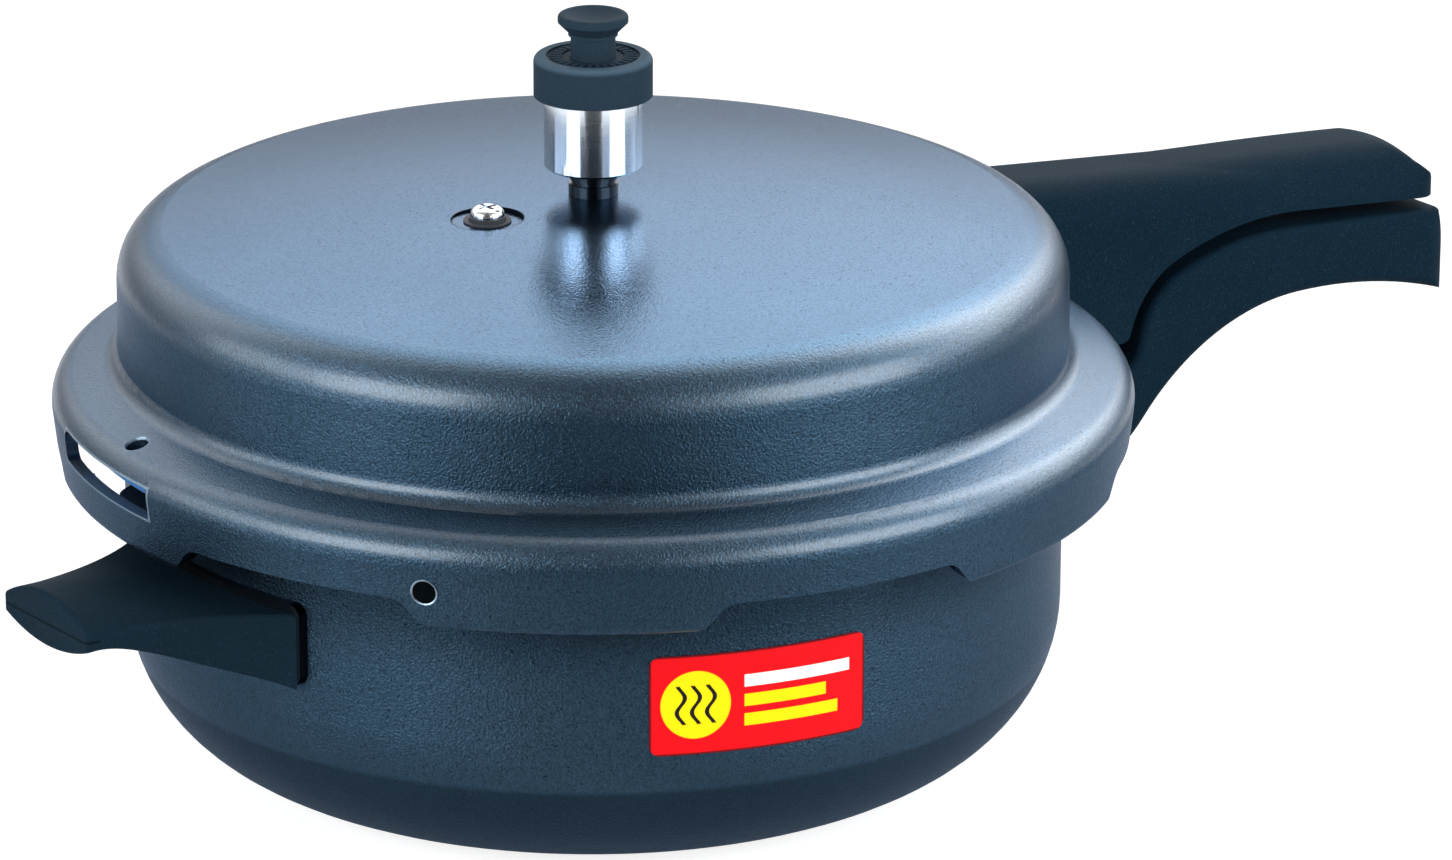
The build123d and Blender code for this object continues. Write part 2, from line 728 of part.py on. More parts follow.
# Helper handle: lofted from a flared root to a lens-shaped end
with BuildPart() as helper_handle:
    for reach, half_w, top, bottom, crown, sag in helper_sections:
        with BuildSketch(Plane.YZ.offset(-pan_r - reach)):
            with BuildLine():
                ThreePointArc((-half_w, rim_z + top), (0, rim_z + top + crown), (half_w, rim_z + top))
                Line((half_w, rim_z + top), (half_w, rim_z + bottom))
                ThreePointArc((half_w, rim_z + bottom), (0, rim_z + bottom - sag), (-half_w, rim_z + bottom))
                Line((-half_w, rim_z + bottom), (-half_w, rim_z + top))
            make_face()
    loft()
    fillet(helper_handle.edges(), helper_round)
    with BuildSketch(Plane.XY):
        Circle(plate_face_r)
    extrude(amount=rim_z, mode=Mode.SUBTRACT)
    cut_for_bracket(-1, pan_r, helper_tongue_z, helper_tongue_reach, helper_screw_grip)
finish(helper_handle, "helper_handle")

# Vent tube through the crown, with a seal and a nut underneath
vent_foot_z = lid_inner_apex_z - vent_seal_t - vent_nut_t - vent_thread_past
vent_collar_z = apex_z + vent_collar_t
vent_groove_z = vent_collar_z + vent_groove_t
vent_body_z = apex_z + vent_body_height
vent_tip_z = apex_z + vent_nipple_height
with BuildPart() as vent_tube:
    with BuildSketch(Plane.XZ):
        with BuildLine():
            Polyline(
                (vent_bore_d / 2, vent_foot_z),
                (vent_thread_d / 2, vent_foot_z),
                (vent_thread_d / 2, apex_z),
                (vent_collar_d / 2, apex_z),
                (vent_collar_d / 2, vent_collar_z),
                (vent_groove_d / 2, vent_collar_z),
                (vent_groove_d / 2, vent_groove_z),
                (vent_body_d / 2, vent_groove_z),
                (vent_body_d / 2, vent_body_z),
                (vent_nipple_d / 2, vent_body_z),
                (vent_nipple_d / 2, vent_tip_z - vent_nipple_bevel),
                (vent_nipple_d / 2 - vent_nipple_bevel, vent_tip_z),
                (vent_bore_d / 2, vent_tip_z),
                close=True,
            )
        make_face()
    revolve(axis=Axis.Z)
finish(vent_tube, "vent_tube")

with BuildPart() as vent_seal:
    with BuildSketch(Plane.XY.offset(lid_inner_apex_z - vent_seal_t)):
        Circle(vent_seal_d / 2)
        Circle(vent_thread_d / 2 + shank_gap, mode=Mode.SUBTRACT)
    extrude(amount=vent_seal_t - seat_gap)
finish(vent_seal, "vent_seal")

with BuildPart() as vent_nut:
    with BuildSketch(Plane.XY.offset(lid_inner_apex_z - vent_seal_t - vent_nut_t)):
        RegularPolygon(vent_nut_across / 2, 6, major_radius=False)
        Circle(vent_thread_d / 2 + shank_gap, mode=Mode.SUBTRACT)
    extrude(amount=vent_nut_t)
finish(vent_nut, "vent_nut")

# Safety plug: slotted head over a seal, nut underneath, low-melting core up its middle
plug_seal_top_z = plug_lid_z + plug_seal_t
plug_foot_z = plug_under_z - plug_nut_t - plug_past
with BuildPart() as safety_plug_seal:
    with BuildSketch(Plane.XY.offset(plug_lid_z)):
        with Locations((plug_x, 0)):
            Circle(plug_seal_flange_d / 2)
            Circle(plug_shank_d / 2 + shank_gap, mode=Mode.SUBTRACT)
    extrude(amount=plug_seal_flange_t)
    with BuildSketch(Plane.XY.offset(plug_lid_z)):
        with Locations((plug_x, 0)):
            Circle(plug_seal_d / 2)
            Circle(plug_shank_d / 2 + shank_gap, mode=Mode.SUBTRACT)
    extrude(amount=plug_seal_t)
finish(safety_plug_seal, "safety_plug_seal")

with BuildPart() as safety_plug:
    with BuildSketch(Plane.XY.offset(plug_seal_top_z)):
        with Locations((plug_x, 0)):
            Circle(plug_head_d / 2)
    extrude(amount=plug_head_t)
    fillet(safety_plug.edges().group_by(Axis.Z)[-1], plug_head_round)
    with BuildSketch(Plane.XY.offset(plug_foot_z)):
        with Locations((plug_x, 0)):
            Circle(plug_shank_d / 2)
    extrude(amount=plug_seal_top_z - plug_foot_z)
    with Locations((plug_x, 0, plug_seal_top_z + plug_head_t)):
        for turn in (0, 90):
            Box(
                plug_slot_length,
                plug_slot_w,
                2 * plug_slot_depth,
                rotation=(0, 0, turn),
                mode=Mode.SUBTRACT,
            )
    with Locations((plug_x, 0, plug_foot_z)):
        Cylinder(
            plug_core_d / 2,
            plug_core_length,
            align=(Align.CENTER, Align.CENTER, Align.MIN),
            mode=Mode.SUBTRACT,
        )
finish(safety_plug, "safety_plug")

with BuildPart() as safety_plug_core:
    with Locations((plug_x, 0, plug_foot_z)):
        Cylinder(
            plug_core_d / 2 - shank_gap,
            plug_core_length - seat_gap,
            align=(Align.CENTER, Align.CENTER, Align.MIN),
        )
finish(safety_plug_core, "safety_plug_core")

with BuildPart() as safety_plug_nut:
    with BuildSketch(Plane.XY.offset(plug_under_z - plug_nut_t)):
        with Locations((plug_x, 0)):
            RegularPolygon(plug_nut_across / 2, 6, major_radius=False)
            Circle(plug_shank_d / 2 + shank_gap, mode=Mode.SUBTRACT)
    extrude(amount=plug_nut_t)
finish(safety_plug_nut, "safety_plug_nut")

# Weight: stands on the tip of the vent tube
sleeve_z = apex_z + sleeve_lift
sleeve_top_z = sleeve_z + sleeve_height
cap_z = sleeve_top_z - cap_cover
cap_top_z = cap_z + cap_height
core_z = sleeve_top_z - core_height
with BuildPart() as weight_sleeve:
    with BuildSketch(Plane.XY.offset(sleeve_z)):
        Circle(sleeve_d / 2)
        Circle(sleeve_bore_d / 2, mode=Mode.SUBTRACT)
    extrude(amount=sleeve_height)
    chamfer(weight_sleeve.edges().group_by(Axis.Z)[0].sort_by(SortBy.LENGTH)[-1], sleeve_bevel)
finish(weight_sleeve, "weight_sleeve")

with BuildPart() as weight_core:
    with BuildSketch(Plane.XY.offset(core_z)):
        Circle(sleeve_bore_d / 2 - shank_gap)
    extrude(amount=core_height)
    with Locations((0, 0, core_z)):
        Cylinder(
            vent_nipple_d / 2 + mould_gap,
            vent_tip_z + mould_gap - core_z,
            align=(Align.CENTER, Align.CENTER, Align.MIN),
            mode=Mode.SUBTRACT,
        )
finish(weight_core, "weight_core")

with BuildPart() as weight_clip:
    with BuildSketch(Plane.XZ):
        with Locations((sleeve_bore_d / 2 - shank_gap, sleeve_z + clip_height)):
            Rectangle(clip_w, clip_t, align=(Align.MAX, Align.CENTER))
    revolve(axis=Axis.Z, revolution_arc=360 - clip_gap_arc)
finish(weight_clip, "weight_clip")

with BuildPart() as weight_cap:
    with BuildSketch(Plane.XY.offset(cap_z)):
        Circle(cap_d / 2)
    extrude(amount=cap_height)
    fillet(weight_cap.edges().group_by(Axis.Z)[-1], cap_round)
    with Locations((0, 0, cap_z)):
        Cylinder(
            sleeve_d / 2 + seat_gap,
            cap_cover + seat_gap,
            align=(Align.CENTER, Align.CENTER, Align.MIN),
            mode=Mode.SUBTRACT,
        )
        Cylinder(
            knob_neck_d / 2 + seat_gap,
            2 * cap_height,
            align=(Align.CENTER, Align.CENTER, Align.MIN),
            mode=Mode.SUBTRACT,
        )
    with BuildSketch(Plane.XY.offset(cap_top_z)):
        Circle(cap_ring_d / 2)
    extrude(amount=-cap_ring_depth, mode=Mode.SUBTRACT)
finish(weight_cap, "weight_cap")

knob_band_z = cap_top_z + knob_neck_show
knob_under_z = knob_band_z + knob_band_t
knob_rim_z = knob_under_z + knob_under_t
knob_top_z = knob_rim_z + knob_head_t
dish_edge = (knob_head_d / 2 - knob_rim_w, knob_top_z)
dish_floor = (0, knob_top_z - knob_dish_depth)
with BuildPart() as weight_knob:
    with BuildSketch(Plane.XZ) as knob_section:
        with BuildLine():
            TangentArc(dish_floor, dish_edge, tangent=(1, 0))
            Polyline(
                dish_edge,
                (knob_head_d / 2, knob_top_z),
                (knob_head_d / 2, knob_rim_z),
                (knob_band_d / 2, knob_under_z),
                (knob_band_d / 2, knob_band_z),
                (knob_neck_d / 2, knob_band_z),
                (knob_neck_d / 2, sleeve_top_z + seat_gap),
                (0, sleeve_top_z + seat_gap),
                dish_floor,
            )
        make_face()
        fillet(knob_section.vertices().sort_by_distance((knob_head_d / 2, knob_top_z, 0))[0], knob_round)
    revolve(axis=Axis.Z)
finish(weight_knob, "weight_knob")
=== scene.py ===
from math import atan, atan2, cos, pi, radians, sin

import bpy
from mathutils import Matrix, Vector


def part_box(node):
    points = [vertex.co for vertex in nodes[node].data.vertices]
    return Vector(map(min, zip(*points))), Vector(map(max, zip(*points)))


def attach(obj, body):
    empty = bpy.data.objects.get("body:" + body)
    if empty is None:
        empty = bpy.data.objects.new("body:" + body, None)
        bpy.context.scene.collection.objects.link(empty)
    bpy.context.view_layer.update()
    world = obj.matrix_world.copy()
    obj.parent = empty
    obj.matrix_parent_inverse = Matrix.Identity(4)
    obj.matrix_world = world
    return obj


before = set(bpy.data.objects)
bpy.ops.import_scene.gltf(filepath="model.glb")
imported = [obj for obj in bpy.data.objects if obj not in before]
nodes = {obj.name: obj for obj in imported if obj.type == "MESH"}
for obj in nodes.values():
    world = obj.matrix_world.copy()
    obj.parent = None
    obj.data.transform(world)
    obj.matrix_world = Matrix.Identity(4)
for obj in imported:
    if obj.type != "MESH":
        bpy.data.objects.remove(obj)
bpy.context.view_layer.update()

# The photograph's view of the pan
VIEW_AZIMUTH = -36.3
VIEW_ELEVATION = 19.217
VIEW_ROLL = -0.137
VIEW_DISTANCE = 1.8
VIEW_TARGET = Vector((0, 0, 0.075))
FOCAL_LENGTH_MM = 191.96
SENSOR_WIDTH_MM = 36.0
PHOTO_SIZE = (1452, 860)
AXIS_PIXEL = (594.0, 424.2)

# Studio: each lamp's name, azimuth from the camera, elevation, width, height and brightness
LAMPS = (
    ("left_key", -48.0, 19.0, 0.92, 0.8, 7.6),
    ("left_fill", -84.0, 18.0, 0.9, 0.6, 3.0),
    ("right_key", 59.0, 19.0, 1.08, 0.8, 7.4),
    ("right_low", 32.0, 16.0, 0.6, 0.6, 1.6),
    ("right_fill", 98.0, 18.0, 0.9, 0.6, 1.5),
)
LAMP_DISTANCE = 1.5
LAMP_COLOUR = (0.93, 0.97, 1.0)
AMBIENT_LIGHT = 0.45
FRONT_LIGHT = 0.24
FRONT_RISE = 0.18
STRIP_EDGE = (radians(11), radians(20))
STRIP_DARK = 0.21
STRIP_RISE = 0.05
REAR_LIGHT = 2.5
REAR_RIGHT_LIGHT = 7.0
FLOOR_SIZE = 12.0
FLOOR_LEVEL = -0.0003
FLOOR_COLOUR = (0.86, 0.86, 0.87, 1)
FLOOR_GLOW = 1.6
CARD_SIZE = (0.36, 1.2, 1.0)
CARD_PLACE = 0.85
CARD_LEVEL = 0.001
CARD_COLOUR = (0.02, 0.02, 0.02, 1)

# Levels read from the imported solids, and where marks fade in below them
LID_LOW, LID_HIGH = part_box("lid")
APEX = LID_HIGH.z
LUG_FOOT = LID_LOW.z
CROWN_EDGE = (APEX - 0.01, APEX - 0.006)
RISER_EDGE = (APEX - 0.022, APEX - 0.016)
CAP_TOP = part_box("weight_cap")[1].z
CAP_EDGE = (CAP_TOP - 0.0016, CAP_TOP - 0.0001)
HELPER_TIP = -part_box("helper_handle")[0].x
HELPER_END = (HELPER_TIP - 0.004, HELPER_TIP - 0.003)

# Pan and helper handle: lengths in metres, heights above the base
UP = (0, 0, 1)
PAN_RADIUS = 0.109
BOTTOM_BAND = 0.0256
BOTTOM_FADE = 0.0008
RIM_SHADE = (0.05, 0.068)
PARTING_HEIGHT = 0.0599

# Lid: gasket window, drilled holes and the groove round the plug
WINDOW_AZIMUTH = radians(170.4)
WINDOW_HALF = (0.023, 0.0037)
WINDOW_HEIGHT = 0.0826
SHOULDER_HOLE = Vector((-0.11798, 0.01261, 0.09147))
SHOULDER_HOLE_AXIS = Vector((-0.282, 0.03, 0.959))
SHOULDER_HOLE_RADIUS = 0.0028
SKIRT_HOLE_AZIMUTH = radians(216.4)
SKIRT_HOLE_RADIUS = 0.1247
SKIRT_HOLE_HEIGHT = 0.0778
SKIRT_LEAN = radians(6.46)
HOLE_EDGE_RADIUS = 0.0031
HOLE_EDGE_DEPTH = 0.0004
HOLE_LIP = 0.0001
HOLE_BEVEL = 0.0003
HOLE_BEVEL_DEPTH = 0.00014
BORE_AREA = 0.00001
PLUG_PLACE = Vector((-0.03, 0, 0))
PLUG_GROOVE_RADIUS = 0.0083

# Weight: rim of the cap, lighter for wear and a painted sheen, and the ridges in its ring
CAP_RIM = (0.0102, 0.0112)
RIDGE_SIZE = (0.0028, 0.0008, 0.0006)
RIDGE_PLACE = 0.0086
RIDGE_SINK = 0.0004
RIDGE_COUNT = 30
RIDGE_BEVEL = 0.00012
MERGE_DISTANCE = 0.00001

# Label: its strip of the wall, and its print measured from the middle
LABEL_AZIMUTH = radians(-106.5)
LABEL_ARC = radians(27.0)
LABEL_HEIGHT = 0.0235
LABEL_MIDDLE = 0.0466
LABEL_GAP = 0.00008
LABEL_THICKNESS = 0.00012
LABEL_CORNER = 0.0026
LABEL_END = radians(0.2)
DISC_PLACE = -0.0152
DISC_RADIUS = 0.0078
WISP_PLACES = (-0.0034, 0.0, 0.0034)
BAR_START = -0.0042
BAR_WIDTH = 0.0024
INK_EDGE = 0.0003

# Swelling of the upper handle's crest, measured from the pan's axis and from the crest's centre
CREST_CENTRE = 0.239
CREST_BACK = 0.08
CREST_FORWARD = 0.0115
CREST_HALF_WIDTH = 0.0147
CREST_HEIGHT = 0.0022
CREST_FALL = 1.3
CREST_START = 0.02
CREST_SINK = 0.00005
CREST_SKIN = 0.0006


class Socket:
    """A shader socket that takes part in sums, and from which further nodes grow."""

    def __init__(self, tree, link):
        self.tree = tree
        self.link = link

    def node(self, kind, settings=None, inputs=None, output=0):
        """A new node of this kind, with its settings made before its sockets are filled."""
        made = self.tree.nodes.new(kind)
        for name, value in (settings or {}).items():
            setattr(made, name, value)
        for name, value in (inputs or {}).items():
            if isinstance(value, Socket):
                self.tree.links.new(value.link, made.inputs[name])
            else:
                made.inputs[name].default_value = value
        return Socket(self.tree, made.outputs[output])

    def math(self, operation, *values):
        """A Math node on these values."""
        return self.node("ShaderNodeMath", {"operation": operation}, dict(enumerate(values)))

    def __add__(self, other):
        return self.math("ADD", self, other)

    def __radd__(self, other):
        return self.math("ADD", other, self)

    def __sub__(self, other):
        return self.math("SUBTRACT", self, other)

    def __rsub__(self, other):
        return self.math("SUBTRACT", other, self)

    def __mul__(self, other):
        return self.math("MULTIPLY", self, other)

    def __rmul__(self, other):
        return self.math("MULTIPLY", other, self)

    def step(self, low, high):
        """Smooth rise from 0 to 1 as the value goes from low to high."""
        return self.node(
            "ShaderNodeMapRange",
            {"interpolation_type": "SMOOTHSTEP"},
            {"Value": self, "From Min": low, "From Max": high},
        )

    def size(self):
        """The value without its sign."""
        return self.math("ABSOLUTE", self)

    def most(self, other):
        """The larger of two values."""
        return self.math("MAXIMUM", self, other)

    def near(self, centre, reach):
        """1 where the value is at the centre, 0 from one reach away."""
        return 1 - (self - centre).size().step(0.0, reach)

    def part(self, number):
        """One part of a vector, in the order x, y, z."""
        return self.node("ShaderNodeSeparateXYZ", None, {0: self}, output=number)

    def dot(self, way):
        """How far a vector reaches along a direction."""
        settings = {"operation": "DOT_PRODUCT"}
        return self.node("ShaderNodeVectorMath", settings, {0: self, 1: way}, output=1)


def mix(factor, dark, light):
    """One colour turning into another."""
    return factor.node(
        "ShaderNodeMix", {"data_type": "RGBA"}, {"Factor": factor, "A": dark, "B": light}, output=2
    )


def rgb(red, green, blue):
    """A display colour of 0 to 255 per channel, as the linear colour that a socket takes."""
    def linear(value):
        share = value / 255
        return share / 12.92 if share <= 0.04045 else ((share + 0.055) / 1.055) ** 2.4
    return (linear(red), linear(green), linear(blue), 1.0)


class Finish:
    """A material with one Principled shader, and the sockets that its pattern starts from."""

    def __init__(self, name, **constants):
        self.material = bpy.data.materials.new(name)
        self.material.use_nodes = True
        self.tree = self.material.node_tree
        self.shader = self.tree.nodes["Principled BSDF"]
        for socket, value in constants.items():
            self.shader.inputs[socket.replace("_", " ")].default_value = value
        self.place = Socket(self.tree, None).node("ShaderNodeTexCoord", output=3)

    def axes(self):
        """Object coordinates, in metres, one socket each."""
        return [self.place.part(number) for number in range(3)]

    def noise(self, scale, detail=2.0, roughness=0.5, stretch=(1, 1, 1)):
        """Noise of about so many cells a metre, stretched along the axes."""
        way = self.place.node("ShaderNodeMapping", None, {"Vector": self.place, "Scale": stretch})
        return way.node(
            "ShaderNodeTexNoise",
            None,
            {"Vector": way, "Scale": scale, "Detail": detail, "Roughness": roughness},
        )

    def vector(self, operation, first, second, output=0):
        """A Vector Math node on two vectors."""
        settings = {"operation": operation}
        return self.place.node("ShaderNodeVectorMath", settings, {0: first, 1: second}, output)

    def from_axis(self, point, way):
        """Distance from a line through a point."""
        arm = self.vector("SUBTRACT", self.place, point)
        return self.vector("LENGTH", self.vector("CROSS_PRODUCT", arm, way), (0, 0, 0), output=1)

    def along(self, way):
        """Distance along a direction, from the origin."""
        return self.place.dot(way)

    def set(self, **links):
        """Feed the shader's sockets."""
        for socket, value in links.items():
            self.tree.links.new(value.link, self.shader.inputs[socket.replace("_", " ")])

    def bump(self, height, strength, depth):
        """Let a height disturb the surface's normal."""
        inputs = {"Height": height, "Strength": strength, "Distance": depth}
        self.set(Normal=height.node("ShaderNodeBump", None, inputs))


def dress(finish, *names):
    """Give CAD nodes a finish."""
    for name in names:
        slots = nodes[name].data.materials
        slots.clear()
        slots.append(finish.material)


def anodised(name, marks):
    """Hard-anodised aluminium: dark blue-grey with a fine grain and pits, and the marks of one piece."""
    finish = Finish(
        name,
        Metallic=0.95,
        IOR=1.5,
        Specular_Tint=rgb(220, 234, 254),
        Anisotropic=0.6,
        Anisotropic_Rotation=0.25,
        Coat_Roughness=0.26,
    )
    cloud = finish.noise(9.0, 3.0, 0.6)
    grain = finish.noise(1700.0, 2.0, 0.6)
    pits = finish.noise(2300.0, 1.0, 0.5).step(0.65, 0.7)
    tone = mix(cloud.step(0.3, 0.7), rgb(47, 69, 86), rgb(57, 79, 97))
    tone = mix(grain.step(0.3, 0.7) * 0.6, tone, rgb(31, 48, 61))
    tone = mix(pits * 0.85, tone, rgb(6, 11, 16))
    rough = 0.27 + grain * 0.08 + cloud * 0.05
    texture = grain * 0.6 - pits * 0.6
    lean = finish.place.node("ShaderNodeNewGeometry", output=1).part(2)
    gloss = lean.step(0.05, 0.3) * (1 - lean.step(0.8, 0.95) * 0.55) * 0.9
    tone, rough, texture, gloss = marks(finish, tone, rough, texture, gloss)
    finish.set(Base_Color=tone, Roughness=rough, Coat_Weight=gloss)
    finish.bump(texture, 1.0, 0.00045)
    return finish


def pan_marks(finish, tone, rough, texture, gloss):
    """The spun bottom is duller than the wall and darker with painted shade, and painted shade darkens
    the wall towards the rim.
    """
    height = finish.along(UP)
    dull_and_shaded = 1 - height.step(BOTTOM_BAND - BOTTOM_FADE, BOTTOM_BAND + BOTTOM_FADE)
    rim = height.step(*RIM_SHADE)
    # Painted shade: the bottom band is darkened as well as made duller.
    tone = mix(dull_and_shaded * 0.6, tone, rgb(14, 27, 36))
    # Painted shade: the wall darkens towards the rim, under the lid's skirt.
    tone = mix(rim * 0.55, tone, rgb(10, 18, 24))
    return tone, rough + dull_and_shaded * 0.08, texture, gloss


def lid_marks(finish, tone, rough, texture, gloss):
    """The crown is polished; the lug foot carries a painted highlight line, the rims of the openings are
    lighter for wear and a painted highlight, and a groove rings the plug with a painted shade line.
    """
    height = finish.along(UP)
    crown = height.step(*CROWN_EDGE)
    rough = rough - 0.04 * height.step(*RISER_EDGE) - 0.19 * crown
    texture = texture * (1 - crown * 0.75)
    # Painted highlight: a light line along the lug foot.
    painted_foot_highlight = height.near(LUG_FOOT, 0.001) * 0.15
    reach = finish.from_axis(SHOULDER_HOLE, SHOULDER_HOLE_AXIS)
    hole = reach.near(SHOULDER_HOLE_RADIUS, 0.0004) * height.near(SHOULDER_HOLE.z, 0.004)
    aside = finish.along((-sin(WINDOW_AZIMUTH), cos(WINDOW_AZIMUTH), 0))
    outward = finish.along((cos(WINDOW_AZIMUTH), sin(WINDOW_AZIMUTH), 0))
    end = aside.size() - WINDOW_HALF[0]
    side = (height - WINDOW_HEIGHT).size() - WINDOW_HALF[1]
    window = end.most(side).near(0.0002, 0.0005) * outward.step(0.11, 0.115)
    # The rims of the shoulder hole and the window are lighter for wear and a painted highlight.
    wear_and_highlight = painted_foot_highlight.most(hole.most(window) * 0.7)
    tone = mix(wear_and_highlight, tone, rgb(150, 172, 188))
    ring = finish.from_axis(PLUG_PLACE, UP)
    groove_and_shade = ring.near(PLUG_GROOVE_RADIUS, 0.00026) * crown
    # Painted shade: a near-black line in the groove round the plug, which is also bumped in.
    tone = mix(groove_and_shade * 0.95, tone, rgb(4, 9, 14))
    texture = texture - groove_and_shade * 1.6
    return tone, rough + groove_and_shade * 0.3, texture, gloss * (1 - crown * 0.7)


def moulded(name, light, dark, parting=False, wear_and_sheen=False):
    """Moulded phenolic plastic: nearly black, with a fine matte grain, a parting line or a rim lightened
    for wear and a painted sheen.
    """
    finish = Finish(name, IOR=1.1, Specular_IOR_Level=0.35, Specular_Tint=rgb(170, 210, 255))
    cloud = finish.noise(30.0, 3.0, 0.6)
    grain = finish.noise(1500.0, 2.0, 0.65)
    fleck = finish.noise(2600.0, 1.0, 0.5).step(0.6, 0.72)
    tone = mix(cloud * 0.5 + grain * 0.5, dark, light)
    tone = mix(fleck * 0.16, tone, rgb(66, 88, 104))
    texture = grain + fleck * 0.6
    if parting:
        line = finish.along(UP).near(PARTING_HEIGHT, 0.0005)
        line = line * finish.along((-1, 0, 0)).step(*HELPER_END)
        tone = mix(line * 0.7, tone, rgb(4, 8, 11))
        texture = texture - line * 2.0
    if wear_and_sheen:
        # The cap's rim is lighter for wear and a painted sheen.
        rim = finish.from_axis((0, 0, 0), UP).step(*CAP_RIM)
        rim = rim * finish.along(UP).step(*CAP_EDGE) * (0.5 + cloud * 0.5)
        tone = mix(rim * 0.45, tone, rgb(104, 128, 146))
    finish.set(Base_Color=tone, Roughness=0.46 + grain * 0.16)
    finish.bump(texture, 0.45, 0.0002)
    return finish


def metal(name, light, dark, rough, streak):
    """Bare or plated metal, with turning marks round a vertical axis."""
    finish = Finish(name, Metallic=1.0, Anisotropic=1.0, Anisotropic_Rotation=0.25)
    marks = finish.noise(streak, 3.0, 0.6, stretch=(0.05, 0.05, 1.0))
    cloud = finish.noise(160.0, 2.0, 0.5)
    finish.set(Base_Color=mix(cloud, dark, light), Roughness=rough * 0.8 + marks * (rough * 0.4))
    finish.bump(marks, 0.05, 0.00005)
    return finish


def rubber(name, light, dark):
    """Moulded rubber with a dull bloom."""
    finish = Finish(name, IOR=1.5)
    bloom = finish.noise(120.0, 4.0, 0.65)
    grain = finish.noise(1800.0, 2.0, 0.5)
    finish.set(Base_Color=mix(bloom, dark, light), Roughness=0.62 + bloom * 0.2)
    finish.bump(grain, 0.2, 0.0001)
    return finish


def printed_label():
    """Red label: rising steam in a yellow disc, beside three plain bars."""
    finish = Finish("printed_label", IOR=1.2)
    x, y, z = finish.axes()
    along = (x.math("ARCTAN2", y, x) - LABEL_AZIMUTH) * PAN_RADIUS
    rise = z - LABEL_MIDDLE
    depth = rise.size()
    fleck = finish.noise(900.0, 3.0, 0.6)
    tone = mix(fleck, rgb(206, 4, 14), rgb(220, 8, 20))
    arm = along - DISC_PLACE
    square = arm * arm + rise * rise
    disc = 1 - square.math("SQRT", square).step(DISC_RADIUS, DISC_RADIUS + INK_EDGE)
    yellow = rgb(238, 206, 6)
    tone = mix(disc, tone, yellow)
    wave = rise.math("SINE", rise * 900.0) * 0.0009
    for shift in WISP_PLACES:
        wisp = (arm - wave).near(shift, 0.0009).step(0.3, 0.5) * (1 - depth.step(0.0044, 0.0048))
        tone = mix(wisp, tone, rgb(22, 20, 22))
    for place, end, colour in (
        (0.0046, 0.0215, rgb(236, 234, 230)),
        (0.0, 0.0155, yellow),
        (-0.0046, 0.0185, yellow),
    ):
        bar = rise.near(place, BAR_WIDTH).step(0.3, 0.4)
        bar = bar * along.step(BAR_START, BAR_START + INK_EDGE) * (1 - along.step(end, end + INK_EDGE))
        tone = mix(bar, tone, colour)
    span = along.size() - LABEL_ARC * PAN_RADIUS / 2
    edge = span.most(depth - LABEL_HEIGHT / 2).step(-0.0006, -0.0003)
    tone = mix(edge, tone, rgb(96, 8, 14))
    finish.set(Base_Color=tone, Roughness=0.34 + fleck * 0.1)
    finish.bump(fleck, 0.1, 0.0001)
    return finish


dress(anodised("anodised_pan", pan_marks), "pan")
dress(anodised("anodised_lid", lid_marks), "lid")
black_moulding = moulded("black_moulding", rgb(16, 36, 49), rgb(9, 22, 31))
dress(black_moulding, "pan_handle", "lid_handle")
dress(moulded("black_helper", rgb(23, 40, 51), rgb(13, 25, 33), parting=True), "helper_handle")
black_cap = moulded("black_cap", rgb(43, 57, 69), rgb(27, 40, 49), wear_and_sheen=True)
dress(black_cap, "weight_cap", "weight_knob")
dress(metal("bright_plating", rgb(244, 247, 250), rgb(236, 240, 245), 0.08, 900.0), "weight_sleeve")
dress(metal("plated_screw_head", rgb(236, 240, 245), rgb(216, 222, 230), 0.12, 900.0), "safety_plug")
dress(metal("dull_plating", rgb(52, 62, 72), rgb(36, 44, 52), 0.3, 900.0), "vent_tube")
dress(
    metal("plain_steel", rgb(176, 178, 182), rgb(150, 153, 158), 0.24, 700.0),
    "lid_handle_bracket",
    "pan_handle_screw",
    "helper_screw",
    "lid_handle_screw",
    "pan_handle_washer",
    "helper_washer",
    "lid_handle_washer",
    "weight_core",
    "weight_clip",
)
dress(
    metal("dark_steel", rgb(26, 33, 40), rgb(17, 22, 27), 0.32, 500.0),
    "pan_handle_bracket",
    "helper_bracket",
)
dress(
    metal("rivet_alloy", rgb(188, 190, 194), rgb(160, 163, 168), 0.28, 600.0),
    "pan_bracket_rivets",
    "helper_rivets",
    "lid_bracket_rivets",
    "safety_plug_core",
)
dress(
    metal("turned_brass", rgb(206, 176, 108), rgb(184, 150, 84), 0.2, 800.0),
    "vent_nut",
    "safety_plug_nut",
)
dress(rubber("black_seal", rgb(40, 44, 50), rgb(26, 29, 34)), "vent_seal", "safety_plug_seal")
dress(rubber("blue_gasket", rgb(40, 96, 150), rgb(26, 76, 126)), "gasket")


def begin(adder, **settings):
    """A piece started from a primitive, with nothing else selected."""
    bpy.ops.object.select_all(action="DESELECT")
    adder(**settings)
    return bpy.context.object


def pick(piece, kind, wanted):
    """Select the faces or vertices that are wanted, and leave the piece in edit mode."""
    bpy.ops.object.mode_set(mode="EDIT")
    bpy.ops.mesh.select_mode(type=kind)
    bpy.ops.mesh.select_all(action="DESELECT")
    bpy.ops.object.mode_set(mode="OBJECT")
    for item in piece.data.polygons if kind == "FACE" else piece.data.vertices:
        item.select = wanted(item)
    bpy.ops.object.mode_set(mode="EDIT")


def settle(piece, name, body, slot, *finishes):
    """Name and dress a finished piece, put its place into its mesh and let it ride on its body."""
    piece.name = name
    bpy.ops.object.transform_apply(location=True, rotation=True, scale=True)
    for finish in finishes:
        piece.data.materials.append(finish.material)
    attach(piece, body)


